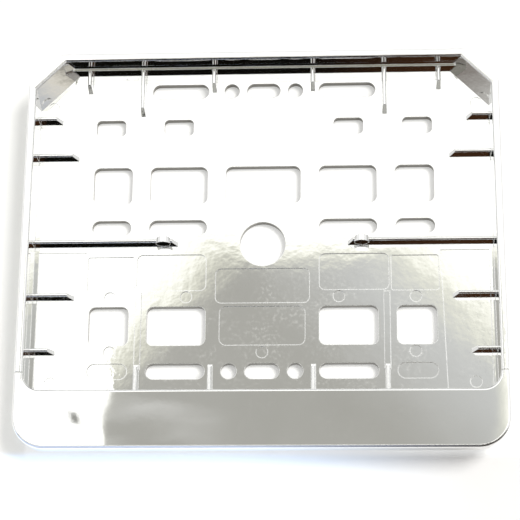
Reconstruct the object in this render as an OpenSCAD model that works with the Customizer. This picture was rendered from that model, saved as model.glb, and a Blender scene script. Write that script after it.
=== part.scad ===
// Motorcycle number plate holder: a shallow moulded tray that takes the plate,
// and a strip that clips over the plate's lower edge.
// It lies on its back, with +Z out of the front face and +Y towards the upper edge.
// The origin is the centre of the large hole, at the back face.

/* [Number plate] */
// Width of the number plate that the pocket takes
plate_w = 190; // [186:1:194]
// Height of the number plate
plate_h = 150; // [147:1:153]
// Play between the number plate and each wall
plate_play = 0.4; // [0.2:0.1:0.8]
// Distance from the plate's upper edge down to the centre hole
hub_drop = 77.5; // [76:0.5:79]
// Length cut off each upper corner, along the walls at the rim
corner_cut = 11.7; // [9:0.1:14]

/* [Tray] */
// Thickness of the base
base_t = 3; // [2:0.5:4]
// Height of the ledge on the top wall that carries the plate, above the base
ledge_h = 5.5; // [4.5:0.5:6.5]
// Width of that ledge
ledge_w = 1.1; // [0.9:0.1:1.3]
// Height of the rim above the base
rim_h = 13; // [12.5:0.5:15]
// Width of the rim's front face
rim_w = 3.6; // [3.2:0.1:4.4]
// Depth of the rim's outer edge
rim_drop = 5.5; // [4:0.5:7]
// Rounding of the rim's outer edge
rim_round = 1.2; // [0.6:0.1:1.6]
// Rounding of the rim's inner edge
mouth_r = 1.1; // [0.6:0.1:1.4]
// Draft of the walls and ribs, per millimetre of height
draft = 0.02; // [0.01:0.01:0.04]
// Outward lean of the two corner walls, per millimetre of height
corner_lean = 0.31; // [0.2:0.01:0.35]
// Thickness of the two corner walls
wall_t = 2.2; // [1.8:0.1:2.4]
// Outer radius of the lower corners
low_r = 13; // [11:0.5:15]
// Outer radius of the four upper corners
high_r = 4.6; // [4.5:0.1:6]

/* [Ribs] */
// Thickness of every rib
rib_t = 1.8; // [1.4:0.1:2.2]
// How far a rib's sloping end leans over the ledge height
rib_slope = 2.1; // [1:0.1:3]
// Radius of the round pad near the end of each long rib
pad_r = 3; // [2.4:0.1:3.4]
// How far that pad stands above the rib
pad_rise = 2; // [1:0.1:2.4]

/* [Screw holes and windows] */
// Diameter of the centre hole
hub_d = 19; // [16:0.5:21]
// Width of every slot, and diameter of the small screw holes
slot_w = 6.5; // [5.5:0.1:7]
// Distance between the upper and the lower row of screw holes
row_gap = 123; // [121:1:125]
// Height of the upper row of screw holes above the centre hole
row_high = 68.8; // [68:0.1:69.2]
// Distance of the small screw holes from the middle
hole_x = 13.55; // [13:0.05:14]
// Distance of the long slots and the wide windows from the middle
wide_x = 35.45; // [34.5:0.05:36]
// Length of the long slots
wide_w = 24.2; // [22:0.1:25]
// Distance of the outer windows from the middle
edge_x = 63.3; // [62.5:0.1:64]
// Width of the outer windows and slots
edge_w = 16.4; // [15:0.1:17]
// Height of the large windows
window_h = 16.4; // [15:0.1:17]

/* [Lower strip] */
// Height of the strip
strip_w = 23.8; // [22:0.1:26]
// How far the strip covers the number plate
plate_cover = 7.9; // [6:0.1:9]
// Thickness of the strip's front face
strip_t = 2; // [1.6:0.1:2.2]
// Thickness of the strip's skirt
skirt_t = 1.8; // [1.6:0.1:2]
// Gap between the strip and the tray where the rim is parted
part_gap = 0.35; // [0.2:0.05:0.6]
// Radius of the strip's two inner corners
inner_r = 7; // [5:0.5:8]

/* [Relief of the base] */
// Depth of the panels, and height of the two bands
relief = 0.3; // [0.2:0.05:0.5]
// Depth of the two fields beside the outer windows
field_depth = 0.15; // [0.1:0.05:0.2]
// Depth of the round ejector marks
mark_depth = 0.3; // [0.25:0.05:0.5]
// Diameter of those marks
mark_d = 4.8; // [4:0.1:4.9]

/* [Hidden] */
$fn = 64;

slack = 0.3;          // between the strip's skirt and the tray's wall
lip_r = 1;            // rounding of the strip's inner edge
lead = 0.5;           // how far below the rounding its cutter starts
root = 0.8;           // how far ribs and stop run into the side walls
eps = 0.01;           // sinks one shape into the next, so that they fuse
far = 150;            // longer than any part of the holder

// Levels above the back face
ledge_z = base_t + ledge_h;
rib_z = ledge_z - 0.1;
foot_z = base_t - 1;
rim_z = base_t + rim_h;
mouth_z = rim_z - mouth_r;
bead_z = rim_z - rim_drop;
cap_z = rim_z - strip_t;

// Pocket and outline
pocket_x = plate_w / 2 + plate_play;
pocket_top = hub_drop + plate_play;
rim_top = pocket_top + draft * (rim_z - ledge_z);
outer_x = pocket_x + rim_w;
outer_top = rim_top + rim_w;
plate_low = hub_drop - plate_h;
strip_top = plate_low + plate_cover;
outer_low = strip_top - strip_w;
part_y = strip_top + inner_r + slack;
cut_sum = pocket_x + rim_top - corner_cut;
outer_cut = cut_sum + rim_w * sqrt(2);
wall_inset = skirt_t + slack;
wall_low = outer_low + wall_inset + wall_t;
stop_y = plate_low - plate_play;

// The rim's corners, anticlockwise from the lower right, each with its radius
corners = [
    [outer_x, outer_low, low_r],
    [outer_x, outer_cut - outer_x, high_r],
    [outer_cut - outer_top, outer_top, high_r],
    [outer_top - outer_cut, outer_top, high_r],
    [-outer_x, outer_cut - outer_x, high_r],
    [-outer_x, outer_low, low_r]
];
last = len(corners) - 1;

function point(i) = [corners[i].x, corners[i].y];
function after(i) = i == last ? 0 : i + 1;
function before(i) = i == 0 ? last : i - 1;
function along(i) = (point(after(i)) - point(i)) / norm(point(after(i)) - point(i));
function outward(i) = [along(i).y, -along(i).x];
function turn(i) = acos(along(before(i)) * along(i));
function radius(i) = corners[i][2];
function centre(i) = point(i) - along(before(i)) * radius(i) * tan(turn(i) / 2)
    - outward(before(i)) * radius(i);

// The outline of the holder, drawn in by a given distance
module outline(inset) {
    polygon([
        for (i = [0:last], side = [before(i), i])
            centre(i) + outward(side) * (radius(i) - inset)
    ]);
    for (i = [0:last])
        translate(centre(i))
            circle(r = radius(i) - inset);
}

// Sweeps a profile round the lower end of the outline, from one parting gap to the
// other. In the profile, x is 0 at the outer edge and negative inwards, and y is height.
module sweep_low() {
    end_y = part_y - part_gap / 2;
    corner_y = outer_low + low_r;
    straight = outer_x - low_r;
    translate([-straight, outer_low, 0])
        rotate([90, 0, -90])
            mirror([0, 0, 1])
                linear_extrude(2 * straight)
                    children();
    for (side = [0, 1])
        mirror([side, 0, 0]) {
            translate([straight, corner_y, 0])
                rotate([0, 0, -90])
                    rotate_extrude(angle = 90)
                        translate([low_r, 0])
                            children();
            translate([outer_x, end_y, 0])
                rotate([90, 0, 0])
                    linear_extrude(end_y - corner_y)
                        children();
        }
}

// Section of the rim: flat front face, rounded outer edge
module rim_profile(width) {
    translate([-width, bead_z])
        square([width, rim_drop - rim_round]);
    translate([-width, bead_z])
        square([width - rim_round, rim_drop]);
    translate([-rim_round, rim_z - rim_round])
        circle(r = rim_round);
}

// Everything above the parting gap of the rim
module upper_side() {
    translate([-far, part_y + part_gap / 2, -eps])
        cube([2 * far, far, far]);
}

// A slab as deep as the rim, with its rounded edge on the +Y side
module rim_slab(edge) {
    translate([0, edge, 0])
        rotate([90, 0, 90])
            linear_extrude(2 * far, center = true)
                rim_profile(2 * far);
}

// The tray's part of the rim, not yet hollowed
module rim_block() {
    intersection() {
        translate([0, 0, bead_z])
            linear_extrude(rim_drop)
                outline(0);
        rim_slab(outer_top);
        facing(45)
            rim_slab(outer_cut / sqrt(2));
        facing(90)
            rim_slab(outer_x);
        upper_side();
    }
}

// A block that ends at a leaning face on its +Y side
module lean_block(y_low, y_high, z_low, z_high) {
    rotate([90, 0, 90])
        linear_extrude(2 * far, center = true)
            polygon([[-far, z_low], [y_low, z_low], [y_high, z_high], [-far, z_high]]);
}

// How far a drafted wall has moved outwards at a given height, and where a corner wall is
function drafted(z) = draft * (z - ledge_z);
function cut_at(z) = cut_sum / sqrt(2) - corner_lean * (rim_z - z);

// The space inside the walls, between two levels; the inset is that of the top wall
module cavity(inset, z_low, z_high) {
    out_low = drafted(z_low);
    out_high = drafted(z_high);
    low_round = low_r - wall_inset - wall_t;
    top_edge = pocket_top - inset;
    intersection() {
        translate([0, 0, z_low])
            linear_extrude(z_high - z_low)
                round_box(pocket_x + out_high + slack, wall_low, far, low_round);
        lean_block(top_edge + out_low, top_edge + out_high, z_low, z_high);
        facing(90)
            lean_block(pocket_x + out_low, pocket_x + out_high, z_low, z_high);
        facing(45)
            lean_block(cut_at(z_low), cut_at(z_high), z_low, z_high);
    }
}

// The space inside the rounded inner edge of the rim
module mouth() {
    intersection() {
        mouth_slab(pocket_top + drafted(mouth_z), draft);
        facing(90)
            mouth_slab(pocket_x + drafted(mouth_z), draft);
        facing(45)
            mouth_slab(cut_at(mouth_z), corner_lean);
    }
}

// A slab on the level where the rounding begins: its +Y side follows the wall for a
// little, then widens along the rounding
module mouth_slab(edge, lean) {
    translate([0, edge, 0])
        rotate([90, 0, 90])
            linear_extrude(2 * far, center = true) {
                polygon([
                    [-2 * far, mouth_z - lead],
                    [-lean * lead, mouth_z - lead],
                    [0, mouth_z],
                    [-2 * far, mouth_z]
                ]);
                difference() {
                    translate([-2 * far, mouth_z])
                        square([2 * far + mouth_r, mouth_r + 1]);
                    translate([mouth_r, mouth_z])
                        circle(r = mouth_r);
                }
            }
}

// The region shared by two copies of a shape, turned by an angle to the left and right
module facing(angle) {
    intersection() {
        rotate([0, 0, angle])
            children();
        rotate([0, 0, -angle])
            children();
    }
}

// A box from y_low to y_high, half_w to each side, with its two lower corners rounded
module round_box(half_w, y_low, y_high, r) {
    translate([-half_w, y_low + r])
        square([2 * half_w, y_high - y_low - r]);
    translate([r - half_w, y_low])
        square([2 * (half_w - r), r + eps]);
    for (side = [-1, 1])
        translate([side * (half_w - r), y_low + r])
            circle(r = r);
}

// A rectangle about its own centre, with all its corners rounded
module soft_rect(w, h, r) {
    square([w - 2 * r, h], center = true);
    square([w, h - 2 * r], center = true);
    for (x = [r - w / 2, w / 2 - r], y = [r - h / 2, h / 2 - r])
        translate([x, y])
            circle(r = r);
}

// A slot with round ends about its own centre
module slot(length) {
    square([length - slot_w, slot_w], center = true);
    for (x = [slot_w - length, length - slot_w])
        translate([x / 2, 0])
            circle(d = slot_w);
}

// One copy on the right and one on the left
module both_sides(x) {
    for (side = [-1, 1])
        translate([side * x, 0])
            children();
}

// Rows of openings through the base, named from the top
mid_slot = 14.3;
mid_window = 31.5;
window_r = 2.8;
small_w = 12.5;
small_h = 7.2;
small_r = 2;
small_in = 35.95;
small_out = 64.9;
small_y = 52.3;
window_high = 26.1;
window_low = -35.1;
slot_y = 7.4;

module screw_row() {
    both_sides(hole_x)
        circle(d = slot_w);
    both_sides(wide_x)
        slot(wide_w);
    slot(mid_slot);
}

module openings() {
    circle(d = hub_d);
    translate([0, row_high])
        screw_row();
    translate([0, row_high - row_gap])
        screw_row();
    for (x = [small_in, small_out])
        translate([0, small_y])
            both_sides(x)
                soft_rect(small_w, small_h, small_r);
    for (y = [window_high, window_low])
        translate([0, y]) {
            both_sides(wide_x)
                soft_rect(wide_w, window_h, window_r);
            both_sides(edge_x)
                soft_rect(edge_w, window_h, window_r);
        }
    translate([0, window_high])
        soft_rect(mid_window, window_h, window_r);
    translate([0, slot_y]) {
        both_sides(wide_x)
            slot(wide_w);
        both_sides(edge_x)
            slot(edge_w);
    }
}

// Side of a rib: it rises from a sloping end to its full height and runs on to reach
module rib_side(tip, reach) {
    foot_tip = tip - rib_slope * (base_t - foot_z) / ledge_h;
    top_tip = tip + rib_slope * (rib_z - base_t) / ledge_h;
    polygon([[foot_tip, foot_z], [top_tip, rib_z], [reach, rib_z], [reach, foot_z]]);
}

// Section across a rib: narrower towards the top, which is rounded
module rib_section() {
    foot_w = rib_t / 2 + draft * (base_t - foot_z);
    top_r = rib_t / 2 - draft * ledge_h;
    polygon([[-foot_w, foot_z], [foot_w, foot_z], [top_r, rib_z - top_r], [-top_r, rib_z - top_r]]);
    translate([0, rib_z - top_r])
        circle(r = top_r);
}

// A rib that runs along +Y, from its tip to its reach
module rib(tip, reach) {
    intersection() {
        rotate([90, 0, 90])
            linear_extrude(2 * rib_t, center = true)
                rib_side(tip, reach);
        rotate([90, 0, 0])
            linear_extrude(2 * far, center = true)
                rib_section();
    }
}

// Side ribs: distance of the end from the middle, and height
side_ribs = [[85.7, 55.2], [78.1, 38.5], [35.3, 0.1], [78.1, -22.9], [85.2, -46.2]];
// Ribs of the top wall: distance from the middle, and height of the end
top_ribs = [[21, 68.4], [51.3, 57.6], [74.3, 68.4]];
// Ribs of the lower edge: distance from the middle, and height of the end
low_ribs = [[21, -51.5], [51.1, -51.5]];
pad_x = 41;
pad_t = rib_t + 0.6;

module ribs() {
    for (at = side_ribs)
        translate([0, at[1], 0])
            rotate([0, 0, -90])
                rib(at[0], pocket_x + root);
    for (at = top_ribs)
        translate([at[0], 0, 0])
            rib(at[1], pocket_top);
    for (at = low_ribs)
        translate([at[0], 0, 0])
            rotate([0, 0, 180])
                rib(-at[1], -stop_y + eps);
    translate([pad_x, side_ribs[2][1] + pad_t / 2, ledge_z + pad_rise - pad_r])
        rotate([90, 0, 0])
            cylinder(r = pad_r, h = pad_t);
}

// Relief of the base's front face, all of it shallow
panel_r = 2.5;
name_panel = [38.8, 14.7];
name_y = -18.05;
blind_w = 35.2;
wide_panel = [28.7, 15.5];
wide_panel_at = [37.75, -12.25];
edge_panel = [19.6, 15];
edge_panel_at = [62.8, -12.9];
blind_slot_at = [edge_x, row_high - row_gap];
field = [[73.4, -3.3], [75.3, -66], [93.4, -66], [93.4, -3.3]];
band_w = 2.5;
band_top = -20.8;
middle_mark = -46.3;
marks = [[31.5, -22.8], [63, -23], [62.5, -46.1], [86.5, -59], [90, 62]];

// What is cut into the front face by a given depth
module sunk(depth) {
    translate([0, 0, base_t - depth])
        linear_extrude(depth + 1)
            children();
}

module recesses() {
    sunk(relief) {
        translate([0, name_y])
            soft_rect(name_panel.x, name_panel.y, panel_r);
        translate([0, window_low])
            soft_rect(blind_w, window_h, window_r);
        both_sides(wide_panel_at.x)
            translate([0, wide_panel_at.y])
                soft_rect(wide_panel.x, wide_panel.y, panel_r);
        both_sides(edge_panel_at.x)
            translate([0, edge_panel_at.y])
                soft_rect(edge_panel.x, edge_panel.y, 1);
        both_sides(blind_slot_at.x)
            translate([0, blind_slot_at.y])
                slot(edge_w);
    }
    for (side = [0, 1])
        mirror([side, 0, 0])
            sunk(field_depth)
                polygon(field);
    sunk(mark_depth) {
        translate([0, middle_mark])
            circle(d = mark_d);
        for (at = marks)
            both_sides(at.x)
                translate([0, at.y])
                    circle(d = mark_d);
    }
}

// A low band that carries each outer rib of the lower edge on between the windows
module bands() {
    low = low_ribs[1][1];
    both_sides(low_ribs[1][0])
        translate([-band_w / 2, low - rib_slope, foot_z])
            cube([band_w, band_top - low + rib_slope, base_t - foot_z + relief]);
}

// The stop that the plate's lower edge meets, with a window for each of the strip's hooks
stop_t = 2;
hook_w = 8;
hook_t = 1.5;
hook_x = [36, 78];
barb = 1.3;
window_top = ledge_z + 0.2;

module stop() {
    difference() {
        translate([-pocket_x - root, stop_y - stop_t, base_t - eps])
            cube([2 * (pocket_x + root), stop_t, cap_z - slack - base_t]);
        for (x = hook_x, side = [-1, 1])
            translate([side * x - hook_w / 2 - slack, stop_y - 2 * stop_t, base_t])
                cube([hook_w + 2 * slack, 3 * stop_t, window_top - base_t]);
    }
}

// The tray without its ribs
module shell() {
    difference() {
        union() {
            intersection() {
                union() {
                    linear_extrude(cap_z)
                        outline(wall_inset);
                    intersection() {
                        linear_extrude(rim_z)
                            outline(wall_inset);
                        upper_side();
                    }
                }
                facing(45)
                    lean_block(cut_at(0) + wall_t, cut_at(rim_z) + wall_t, 0, rim_z);
            }
            rim_block();
        }
        cavity(ledge_w, base_t, ledge_z + eps);
        cavity(0, ledge_z, mouth_z - lead + eps);
        mouth();
        recesses();
        translate([0, 0, -1])
            linear_extrude(base_t + 2)
                openings();
    }
}

module plate_tray() {
    color("silver") {
        shell();
        ribs();
        mirror([1, 0, 0])
            ribs();
        bands();
        stop();
    }
}

// Section of the strip's inner edge: x is the distance outwards from that edge
module lip_profile() {
    translate([0, cap_z])
        square([lip_r, strip_t - lip_r]);
    intersection() {
        translate([lip_r, rim_z - lip_r])
            circle(r = lip_r);
        translate([0, cap_z])
            square([lip_r, strip_t]);
    }
}

// The rounded inner edge: along the top of the strip and up round its two inner corners
module strip_lip() {
    straight = pocket_x - inner_r;
    corner_y = strip_top + inner_r;
    end_y = part_y - part_gap / 2;
    translate([-straight, strip_top, 0])
        rotate([90, 0, -90])
            mirror([0, 0, 1])
                linear_extrude(2 * straight)
                    lip_profile();
    for (side = [0, 1])
        mirror([side, 0, 0]) {
            translate([straight, corner_y, 0])
                rotate([0, 0, -90])
                    rotate_extrude(angle = 90)
                        translate([inner_r, 0])
                            lip_profile();
            translate([pocket_x, end_y, 0])
                rotate([90, 0, 0])
                    linear_extrude(end_y - corner_y)
                        lip_profile();
        }
}

// A hook under the strip, whose barb catches in a window of the stop
module hook(x) {
    back = stop_y - stop_t - slack;
    translate([x - hook_w / 2, 0, 0])
        rotate([90, 0, 90])
            linear_extrude(hook_w)
                polygon([
                    [back - hook_t, cap_z + eps],
                    [back - hook_t, base_t + 1],
                    [back, base_t + 1],
                    [back + barb, window_top - 1.2],
                    [back + barb, window_top],
                    [back, window_top],
                    [back, cap_z + eps]
                ]);
}

module lower_strip() {
    color("gainsboro") {
        sweep_low()
            rim_profile(skirt_t);
        translate([0, 0, cap_z])
            linear_extrude(strip_t)
                difference() {
                    intersection() {
                        outline(rim_round);
                        translate([-far, part_y - part_gap / 2 - far])
                            square([2 * far, far]);
                    }
                    round_box(pocket_x + lip_r, strip_top - lip_r, far, inner_r + lip_r);
                }
        strip_lip();
        for (x = hook_x, side = [-1, 1])
            hook(side * x);
    }
}

plate_tray();
lower_strip();
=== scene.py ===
import math

import bpy
from mathutils import Matrix, Vector

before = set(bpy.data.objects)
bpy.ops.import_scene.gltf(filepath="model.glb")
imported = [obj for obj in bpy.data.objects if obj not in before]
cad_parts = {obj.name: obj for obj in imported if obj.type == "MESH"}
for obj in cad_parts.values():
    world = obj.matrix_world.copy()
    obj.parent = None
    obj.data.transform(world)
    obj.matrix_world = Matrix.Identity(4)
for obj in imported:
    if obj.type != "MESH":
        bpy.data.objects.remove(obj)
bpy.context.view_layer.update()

MM = 0.001
bpy.context.scene.view_settings.view_transform = "Standard"


# Camera, at the photograph's place and angle

CAMERA_PLACE = Vector((36.6, -218.9, 671.2)) * MM
CAMERA_PITCH = math.radians(17.595)
CAMERA_YAW = math.radians(3.075)
CAMERA_ROLL = math.radians(-0.519)
CAMERA_LENS = 117.4


def add_camera():
    data = bpy.data.cameras.new("camera")
    data.lens = CAMERA_LENS
    data.sensor_width = 36.0
    data.clip_start = 0.01
    data.clip_end = 50.0
    camera = bpy.data.objects.new("camera", data)
    bpy.context.scene.collection.objects.link(camera)
    turn = (
        Matrix.Rotation(CAMERA_PITCH, 4, "X")
        @ Matrix.Rotation(CAMERA_YAW, 4, "Y")
        @ Matrix.Rotation(CAMERA_ROLL, 4, "Z")
    )
    camera.matrix_world = Matrix.Translation(CAMERA_PLACE) @ turn
    bpy.context.scene.camera = camera


# Node helpers

def new_tree(material):
    material.use_nodes = True
    tree = material.node_tree
    tree.nodes.clear()
    return tree


def add(tree, kind, **values):
    """Adds a node; a value is set on the input of that name, or else on the node."""
    node = tree.nodes.new(kind)
    for name, value in values.items():
        label = name.replace("_", " ").title()
        if label in node.inputs:
            node.inputs[label].default_value = value
        else:
            setattr(node, name, value)
    return node


def feed(tree, socket, value):
    """Links an output to the socket, or sets it to a number or a colour."""
    if isinstance(value, bpy.types.NodeSocket):
        tree.links.new(value, socket)
    elif isinstance(value, tuple):
        socket.default_value = (*value, 1.0)
    else:
        socket.default_value = value


def math_node(tree, operation, *values):
    node = add(tree, "ShaderNodeMath", operation=operation)
    for socket, value in zip(node.inputs, values):
        feed(tree, socket, value)
    return node.outputs[0]


def product(tree, first, *others):
    for other in others:
        first = math_node(tree, "MULTIPLY", first, other)
    return first


def blend(tree, factor, first, second):
    node = add(tree, "ShaderNodeMix", data_type="RGBA")
    feed(tree, node.inputs["Factor"], factor)
    feed(tree, node.inputs[6], first)
    feed(tree, node.inputs[7], second)
    return node.outputs[2]


def noise(tree, place, scale, detail):
    node = add(tree, "ShaderNodeTexNoise", scale=scale, detail=detail)
    tree.links.new(place, node.inputs["Vector"])
    return node.outputs[0]


def map_range(tree, value, low, high, to=(0.0, 1.0), kind="LINEAR"):
    """Turns the range from low to high into the range to, and holds its ends beyond."""
    node = add(tree, "ShaderNodeMapRange", interpolation_type=kind)
    for name, end in (("From Min", low), ("From Max", high), ("To Min", to[0]), ("To Max", to[1])):
        node.inputs[name].default_value = end
    tree.links.new(value, node.inputs["Value"])
    return node.outputs[0]


def across(tree, place, first, second, soft):
    """0 to the right of the line from first to second, 1 to its left, with a soft step."""
    line = second - first
    normal = Vector((-line.y, line.x)).normalized()
    dot = add(tree, "ShaderNodeVectorMath", operation="DOT_PRODUCT")
    tree.links.new(place, dot.inputs[0])
    dot.inputs[1].default_value = (normal.x, normal.y, 0)
    at = normal.dot(first)
    return map_range(tree, dot.outputs["Value"], at - soft / 2, at + soft / 2, kind="SMOOTHSTEP")


def right_of(tree, place, x, soft):
    return across(tree, place, Vector((x, 0)), Vector((x, -1)), soft)


def above(tree, place, y, soft):
    return across(tree, place, Vector((0, y)), Vector((1, y)), soft)


def below(tree, place, y, soft):
    return across(tree, place, Vector((0, y)), Vector((-1, y)), soft)


# Surroundings: a white room with a soft key lamp

WHITE = (1.0, 1.0, 1.0)
SKY = (1.0, 1.0, 0.99)
AMBIENT = 0.54
LAMP_COLOR = (1.0, 0.99, 0.96)
LAMP_POWER = 1.95
LAMP_ANGLE = math.radians(25)
LAMP_DIRECTION = Vector((-0.65, -0.3, -1.0))


def seen_directly(tree):
    """1 for rays from the camera and for those that mirrors or glass pass on."""
    path = tree.nodes.new("ShaderNodeLightPath")
    first = math_node(tree, "MAXIMUM", path.outputs["Is Camera Ray"], path.outputs["Is Glossy Ray"])
    return math_node(tree, "MAXIMUM", first, path.outputs["Is Transmission Ray"])


def light_world():
    world = bpy.data.worlds.new("white_room")
    bpy.context.scene.world = world
    tree = new_tree(world)
    out = tree.nodes.new("ShaderNodeOutputWorld")
    seen = add(tree, "ShaderNodeBackground", color=(*WHITE, 1.0), strength=1.0)
    ambient = add(tree, "ShaderNodeBackground", color=(*SKY, 1.0), strength=AMBIENT)
    mix = tree.nodes.new("ShaderNodeMixShader")
    tree.links.new(seen_directly(tree), mix.inputs["Fac"])
    tree.links.new(ambient.outputs[0], mix.inputs[1])
    tree.links.new(seen.outputs[0], mix.inputs[2])
    tree.links.new(mix.outputs[0], out.inputs["Surface"])


def add_lamp():
    data = bpy.data.lights.new("key", "SUN")
    data.energy = LAMP_POWER
    data.color = LAMP_COLOR
    data.angle = LAMP_ANGLE
    lamp = bpy.data.objects.new("key", data)
    bpy.context.scene.collection.objects.link(lamp)
    lamp.rotation_euler = LAMP_DIRECTION.to_track_quat("-Z", "Y").to_euler()
    lamp.visible_glossy = False


def sheet(name, points):
    mesh = bpy.data.meshes.new(name)
    mesh.from_pydata(points, [], [(0, 1, 2, 3)])
    mesh.update()
    obj = bpy.data.objects.new(name, mesh)
    bpy.context.scene.collection.objects.link(obj)
    return obj


def plane(name, x, y, z):
    return sheet(name, [(x[0], y[0], z), (x[1], y[0], z), (x[1], y[1], z), (x[0], y[1], z)])


FLOOR_SIZE = 3.0
FLOOR_COLOR = (0.95, 0.95, 0.95)
# Painted light on the floor: a glow that lightens its shadows, by different amounts left of the holder,
# past its top edge, in its holes, and below the strip to the left and to the right
SHADOW_LIFT = (0.23, 0.23, 0.21)
TOP_LIFT = (0.06, 0.06, 0.06)
HOLE_LIFT = (0.34, 0.34, 0.33)
LIFT_LEFT = (0.40, 0.53, 0.72)
LIFT_RIGHT = (0.05, 0.04, 0.03)
# Where these meet, each with the softness of the step
HOLDER_LEFT = (-0.096, 0.002)
HOLDER_TOP = (0.085, 0.004)
HOLDER_LOW = (-0.088, 0.004)
LIFT_TURN = (0.03, 0.12)


def add_floor():
    """A white floor whose shadows are pale, as if overexposed, and a little blue below the left half
    of the strip, by painted light: a glow, seen by the camera and by mirrors, whose strength differs from
    place to place."""
    floor = plane("floor", (-FLOOR_SIZE, FLOOR_SIZE), (-FLOOR_SIZE, FLOOR_SIZE), 0)
    material = bpy.data.materials.new("floor")
    tree = new_tree(material)
    out = tree.nodes.new("ShaderNodeOutputMaterial")
    diffuse = add(tree, "ShaderNodeBsdfDiffuse", color=(*FLOOR_COLOR, 1.0))
    place = tree.nodes.new("ShaderNodeTexCoord").outputs["Object"]
    color = blend(tree, right_of(tree, place, *HOLDER_LEFT), SHADOW_LIFT, HOLE_LIFT)
    color = blend(tree, above(tree, place, *HOLDER_TOP), color, TOP_LIFT)
    front = blend(tree, right_of(tree, place, *LIFT_TURN), LIFT_LEFT, LIFT_RIGHT)
    color = blend(tree, below(tree, place, *HOLDER_LOW), color, front)
    # Painted light: this glow lightens the floor's shadows
    lift = tree.nodes.new("ShaderNodeEmission")
    tree.links.new(color, lift.inputs["Color"])
    tree.links.new(seen_directly(tree), lift.inputs["Strength"])
    both = tree.nodes.new("ShaderNodeAddShader")
    tree.links.new(diffuse.outputs[0], both.inputs[0])
    tree.links.new(lift.outputs[0], both.inputs[1])
    tree.links.new(both.outputs[0], out.inputs["Surface"])
    floor.data.materials.append(material)


# Cards that only the chrome sees. Most hang at one height, so that a place on the base
# can be turned into the place on the card that it mirrors.

CARD_Z = 0.9
SPREAD = 1 + CARD_Z / CAMERA_PLACE.z


def mirrored(x, y):
    """The place on the cards that the camera sees in the base at x, y (in mm)."""
    return Vector((x * MM * SPREAD, y * MM * SPREAD)) - CAMERA_PLACE.xy * (SPREAD - 1)


def glow(card, shade):
    """Gives a card the colour that shade makes from the tree and the place on the card,
    and hides it from all but mirrors."""
    material = bpy.data.materials.new(card.name)
    tree = new_tree(material)
    out = tree.nodes.new("ShaderNodeOutputMaterial")
    emission = add(tree, "ShaderNodeEmission", strength=1.0)
    tree.links.new(emission.outputs[0], out.inputs["Surface"])
    place = tree.nodes.new("ShaderNodeTexCoord").outputs["Object"]
    feed(tree, emission.inputs["Color"], shade(tree, place))
    card.data.materials.append(material)
    card.visible_camera = False
    card.visible_diffuse = False
    card.visible_shadow = False
    card.visible_transmission = False
    card.visible_volume_scatter = False


def plain(color):
    return lambda tree, place: color


CEILING_HALF = 0.7
CEILING_END = 1.0
BRIGHT = (1.5, 1.5, 1.47)
EDGE_TINT = (0.98, 0.98, 0.84)
CEILING_GREY = (0.415, 0.41, 0.375)
CEILING_LIGHT = (0.53, 0.525, 0.495)
CEILING_RIGHT = (0.68, 0.69, 0.68)
CLOUD_SCALE = 9.0
# Outline of the grey patch in the base, in mm, clockwise, with the softness of each side
PATCH = [
    ((-60.5, -100), (-60.5, -70), 0.003),
    ((-60, -50), (-22, -4), 0.10),
    ((-22, -3), (60, -3), 0.06),
    ((58, -3), (100, -42), 0.12),
    ((97, -40), (97, -100), 0.03),
    ((100, -125), (-66, -125), 0.03),
]
# How far in from the patch's outline the tint of its edge is full and the grey begins
TINT_FULL = 0.6
GREY_FROM = 0.35
# Where it grows lighter towards the right, and the two bounds of the pale streaks
LIGHTER_LINE = ((25, -20), (85, -85), 0.14)
STREAK_RIGHT = ((-30, -100), (-30, 0), 0.12)
STREAK_TOP = ((60, -67), (-60, -67), 0.02)
STREAK = (0.85, 0.85, 0.83)
STREAK_TURN = math.radians(-30)
STREAK_SCALE = (6.0, 34.0, 1.0)
STREAK_RANGE = (0.48, 0.72)
# A dim band of the ceiling, along y, that only the ledge on the top wall mirrors
DIM_BAND = (-0.215, -0.10)
DIM_SOFT = 0.02
DIM = (0.36, 0.36, 0.30)


def streaks(tree, place):
    drawn = add(tree, "ShaderNodeMapping", vector_type="POINT")
    drawn.inputs["Rotation"].default_value = (0, 0, STREAK_TURN)
    drawn.inputs["Scale"].default_value = STREAK_SCALE
    tree.links.new(place, drawn.inputs["Vector"])
    return map_range(tree, noise(tree, drawn.outputs[0], 1.0, 2.0), *STREAK_RANGE)


def ceiling_shade(tree, place):
    inside = None
    for first, second, soft in PATCH:
        side = across(tree, place, mirrored(*second), mirrored(*first), soft)
        inside = side if inside is None else math_node(tree, "MINIMUM", inside, side)
    right, right_of_streaks, above_streaks = (
        across(tree, place, mirrored(*first), mirrored(*second), soft)
        for first, second, soft in (LIGHTER_LINE, STREAK_RIGHT, STREAK_TOP)
    )
    grey = blend(tree, noise(tree, place, CLOUD_SCALE, 3.0), CEILING_GREY, CEILING_LIGHT)
    grey = blend(tree, right, grey, CEILING_RIGHT)
    pale = product(tree, right_of_streaks, above_streaks, streaks(tree, place))
    grey = blend(tree, pale, grey, STREAK)

    edge = add(tree, "ShaderNodeValToRGB")
    ramp = edge.color_ramp
    ramp.elements[0].color = (*BRIGHT, 1.0)
    ramp.elements[1].position = TINT_FULL
    ramp.elements[1].color = (*EDGE_TINT, 1.0)
    tree.links.new(inside, edge.inputs["Fac"])
    core = map_range(tree, inside, GREY_FROM, 1.0, kind="SMOOTHSTEP")
    color = blend(tree, core, edge.outputs[0], grey)

    band = product(
        tree, above(tree, place, DIM_BAND[0], DIM_SOFT), below(tree, place, DIM_BAND[1], DIM_SOFT)
    )
    return blend(tree, band, color, DIM)


def add_ceiling():
    """A bright ceiling with the grey patch that the lower half of the holder mirrors."""
    x, y = (-CEILING_HALF, CEILING_HALF), (DARK_EDGE, CEILING_END)
    glow(plane("ceiling", x, y, CARD_Z), ceiling_shade)


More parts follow.
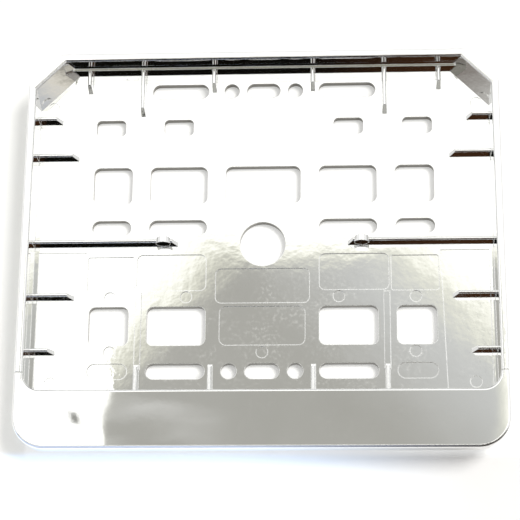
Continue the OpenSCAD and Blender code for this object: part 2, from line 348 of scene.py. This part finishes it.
DARK_EDGE = -0.289
DARK_END = -3.2
DARK_HALF = 0.75
BACK_HALF = 1.6
BACK_LOW = 0.02
DARK = (0.004, 0.004, 0.003)
BROWN = (0.050, 0.022, 0.010)
BROWN_TURN = (0.06, 0.16)


def add_dark_side():
    """The dark side of the room behind the camera, brownish towards the right."""
    glow(
        plane("dark_side", (-DARK_HALF, DARK_HALF), (DARK_END, DARK_EDGE), CARD_Z),
        lambda tree, place: blend(tree, right_of(tree, place, *BROWN_TURN), DARK, BROWN),
    )
    corners = [(-BACK_HALF, BACK_LOW), (BACK_HALF, BACK_LOW), (BACK_HALF, CARD_Z), (-BACK_HALF, CARD_Z)]
    glow(sheet("back_wall", [(x, DARK_END, z) for x, z in corners]), plain(DARK))


# Grey walls that the two leaning corners mirror. Each has the shade at a corner's lower
# end and the shades that follow towards its upper end: place, softness, shade.
CORNER_CARDS = [
    ("right_wall", (0.76, 1.5), (-1.3, -0.3), (0.66, 0.68, 0.72), [
        ((1.12, -0.77), 0.06, (1.0, 0.95, 0.85)),
        ((1.16, -0.76), 0.05, (0.32, 0.31, 0.28)),
    ]),
    ("left_wall", (-1.5, -0.76), (-1.2, -0.3), (0.66, 0.65, 0.63), [
        ((-1.06, -0.56), 0.12, (0.20, 0.17, 0.15)),
    ]),
]


def add_corner_cards():
    for name, x, y, first, shades in CORNER_CARDS:
        line = Vector((0.1, -0.1 if x[0] > 0 else 0.1))

        def corner_shade(tree, place):
            color = first
            for at, soft, shade in shades:
                amount = across(tree, place, Vector(at), Vector(at) + line, soft)
                color = blend(tree, amount, color, shade)
            return color

        glow(plane(name, x, y, CARD_Z), corner_shade)


# The small dark spot that the strip mirrors near its left end: its place in the strip, in
# mm, and half its width and height on the card
LENS_AT = (-75.5, -75)
LENS_HALF = (0.004, 0.007)
LENS_GREY = (0.16, 0.16, 0.14)


def add_lens():
    at = mirrored(*LENS_AT)
    x, y = ((middle - half, middle + half) for middle, half in zip(at, LENS_HALF))
    glow(plane("lens", x, y, CARD_Z - MM), plain(LENS_GREY))


# A low card just before the holder, bluish at the left, that the strip's lower rounding
# mirrors
LOW_HALF = 0.30
LOW_Y = (-0.22, -0.094)
LOW_Z = 0.04
LOW_BLUE = (0.75, 0.85, 1.10)
LOW_DARK = (0.10, 0.09, 0.08)
LOW_TURN = (0.03, 0.16)


def add_low_card():
    glow(
        plane("low_card", (-LOW_HALF, LOW_HALF), LOW_Y, LOW_Z),
        lambda tree, place: blend(tree, right_of(tree, place, *LOW_TURN), LOW_BLUE, LOW_DARK),
    )


# Pale posts in the dark side that the sloping ends of the six top ribs mirror, by way of
# the base: the ribs' places in mm, and how these turn into the posts' places
TOP_RIBS = (-74.3, -51.3, -21, 21, 51.3, 74.3)
POST_SHIFT = -0.106
POST_SPREAD = 3.90
POST_HALF = 0.011
POST_Y = (-2.20, -1.55)
POST_GREY = (0.60, 0.60, 0.57)


def add_posts():
    for x in TOP_RIBS:
        middle = POST_SHIFT + POST_SPREAD * x * MM
        post = plane("post", (middle - POST_HALF, middle + POST_HALF), POST_Y, CARD_Z - MM)
        glow(post, plain(POST_GREY))


# Chrome

# Above and below these shares of straight up, a face counts as flat or as upright
FLAT_FROM = 0.97
UPRIGHT_BELOW = 0.5
UPRIGHT_CALM = 0.12
EDGE_RADIUS = 0.3 * MM
# Size and detail of the sink marks, the mottling and the finest texture
TEXTURES = ((28 * MM, 1.0), (4.5 * MM, 2.0), (1.2 * MM, 2.0))
ROUGHNESS = (0.015, 0.055)
ROUGHNESS_SCALE = 60.0

# The walls of the holes, which get painted shade: a dark tint in place of their shadow
HOLE_TOP = 2.9 * MM
HOLES_X = 80 * MM
HOLES_Y = 76 * MM
HOLE_SHADE = (0.20, 0.19, 0.17)

# The round pads of the long ribs, and the ledge on the top wall
PAD_X = 41 * MM
PAD_R = 3.1 * MM
PAD_Y = 1.6 * MM
PAD_LEAN = 0.02
LEDGE_Z = (8.3 * MM, 8.7 * MM)
LEDGE_Y = 70 * MM
LEDGE_LEAN = -0.06

# Fine pale specks: their colour, and the scale and range of the specks and of the clouds
# that they come in
FILM = (0.90, 0.90, 0.87)
SPECKS = (700.0, 3.0, 0.50, 0.68)
CLOUDS = (90.0, 2.0, 0.40, 0.62)
SPECKLED_BELOW = (-0.004, -0.020)


def within(tree, value, end):
    return math_node(tree, "LESS_THAN", math_node(tree, "ABSOLUTE", value), end)


def uneven(tree, place, depths):
    """The height of the slightly uneven surface."""
    height = None
    for (size, detail), depth in zip(TEXTURES, depths):
        part = math_node(tree, "MULTIPLY", noise(tree, place, 1 / size, detail), depth)
        height = part if height is None else math_node(tree, "ADD", height, part)
    return height


def pad_and_ledge(tree, level, upright, flat):
    """1 on the pads of the long ribs, and 1 on the top ledge."""
    beside = math_node(tree, "SUBTRACT", math_node(tree, "ABSOLUTE", level["X"]), PAD_X)
    on_pad = product(tree, within(tree, beside, PAD_R), within(tree, level["Y"], PAD_Y), upright)
    on_ledge = product(
        tree,
        math_node(tree, "GREATER_THAN", level["Z"], LEDGE_Z[0]),
        math_node(tree, "LESS_THAN", level["Z"], LEDGE_Z[1]),
        math_node(tree, "GREATER_THAN", level["Y"], LEDGE_Y),
        flat,
    )
    return on_pad, on_ledge


def chrome_normal(tree, place, level, upright, flat, depths):
    """Rounded edges and an uneven surface. The round pads of the long ribs mirror as if
    they leaned back a little, like the ribs, and the top ledge as if it sloped a little
    towards the pocket."""
    on_pad, on_ledge = pad_and_ledge(tree, level, upright, flat)
    edges = tree.nodes.new("ShaderNodeBevel")
    edges.samples = 6
    edges.inputs["Radius"].default_value = EDGE_RADIUS
    bump = add(tree, "ShaderNodeBump", distance=1.0)
    lively = math_node(
        tree, "MULTIPLY_ADD", math_node(tree, "SUBTRACT", flat, on_ledge), 1 - UPRIGHT_CALM, UPRIGHT_CALM
    )
    tree.links.new(lively, bump.inputs["Strength"])
    tree.links.new(uneven(tree, place, depths), bump.inputs["Height"])
    tree.links.new(edges.outputs[0], bump.inputs["Normal"])

    lean = tree.nodes.new("ShaderNodeCombineXYZ")
    feed(tree, lean.inputs["Y"], math_node(tree, "MULTIPLY", on_ledge, LEDGE_LEAN))
    feed(tree, lean.inputs["Z"], math_node(tree, "MULTIPLY", on_pad, PAD_LEAN))
    leaning = add(tree, "ShaderNodeVectorMath", operation="ADD")
    tree.links.new(bump.outputs[0], leaning.inputs[0])
    tree.links.new(lean.outputs[0], leaning.inputs[1])
    unit = add(tree, "ShaderNodeVectorMath", operation="NORMALIZE")
    tree.links.new(leaning.outputs[0], unit.inputs[0])
    return unit.outputs[0]


def speck_amount(tree, place, level, flat, film):
    specks, clouds = (
        map_range(tree, noise(tree, place, scale, detail), low, high, (0.0, most))
        for (scale, detail, low, high), most in ((SPECKS, film), (CLOUDS, 1.0))
    )
    return product(tree, specks, clouds, map_range(tree, level["Y"], *SPECKLED_BELOW), flat)


def chrome(name, tint, wave, ripple, grain, film):
    """Chrome plating over a moulding: wave, ripple and grain are the depths in metres of
    its slow sink marks, of its mottling and of its finest texture; film is the share of
    dull specks where there are most of them, on the lower half. Only the level faces are
    wavy and speckled. The walls of the holes get painted shade: a dark tint in their colour."""
    material = bpy.data.materials.new(name)
    tree = new_tree(material)
    out = tree.nodes.new("ShaderNodeOutputMaterial")
    shader = add(tree, "ShaderNodeBsdfPrincipled", metallic=1.0)
    place = tree.nodes.new("ShaderNodeTexCoord").outputs["Object"]
    split = tree.nodes.new("ShaderNodeSeparateXYZ")
    tree.links.new(place, split.inputs[0])
    level = split.outputs
    facing = tree.nodes.new("ShaderNodeSeparateXYZ")
    geometry = tree.nodes.new("ShaderNodeNewGeometry")
    tree.links.new(geometry.outputs["True Normal"], facing.inputs[0])
    slope = math_node(tree, "ABSOLUTE", facing.outputs["Z"])
    upright = math_node(tree, "LESS_THAN", slope, UPRIGHT_BELOW)
    flat = math_node(tree, "GREATER_THAN", slope, FLAT_FROM)

    normal = chrome_normal(tree, place, level, upright, flat, (wave, ripple, grain))
    tree.links.new(normal, shader.inputs["Normal"])
    rough = map_range(tree, noise(tree, place, ROUGHNESS_SCALE, 3.0), 0.0, 1.0, ROUGHNESS)
    tree.links.new(rough, shader.inputs["Roughness"])
    # Painted shade: the walls of the holes are darkened in their colour, in place of their shadow
    in_hole = product(
        tree,
        upright,
        math_node(tree, "LESS_THAN", level["Z"], HOLE_TOP),
        within(tree, level["X"], HOLES_X),
        within(tree, level["Y"], HOLES_Y),
    )
    tree.links.new(blend(tree, in_hole, tint, HOLE_SHADE), shader.inputs["Base Color"])

    haze = add(tree, "ShaderNodeBsdfDiffuse", color=(*FILM, 1.0))
    mix = tree.nodes.new("ShaderNodeMixShader")
    tree.links.new(speck_amount(tree, place, level, flat, film), mix.inputs["Fac"])
    tree.links.new(shader.outputs[0], mix.inputs[1])
    tree.links.new(haze.outputs[0], mix.inputs[2])
    tree.links.new(mix.outputs[0], out.inputs["Surface"])
    return material


def dress():
    looks = {
        "plate_tray": chrome("chrome_tray", (0.86, 0.86, 0.85), 0.10 * MM, 0.020 * MM, 0.003 * MM, 0.25),
        "lower_strip": chrome("chrome_strip", (0.84, 0.84, 0.83), 0.12 * MM, 0.003 * MM, 0.0004 * MM, 0.04),
    }
    for name, material in looks.items():
        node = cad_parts[name]
        node.data.materials.clear()
        node.data.materials.append(material)


add_camera()
light_world()
add_lamp()
add_floor()
add_ceiling()
add_dark_side()
add_corner_cards()
add_lens()
add_low_card()
add_posts()
dress()
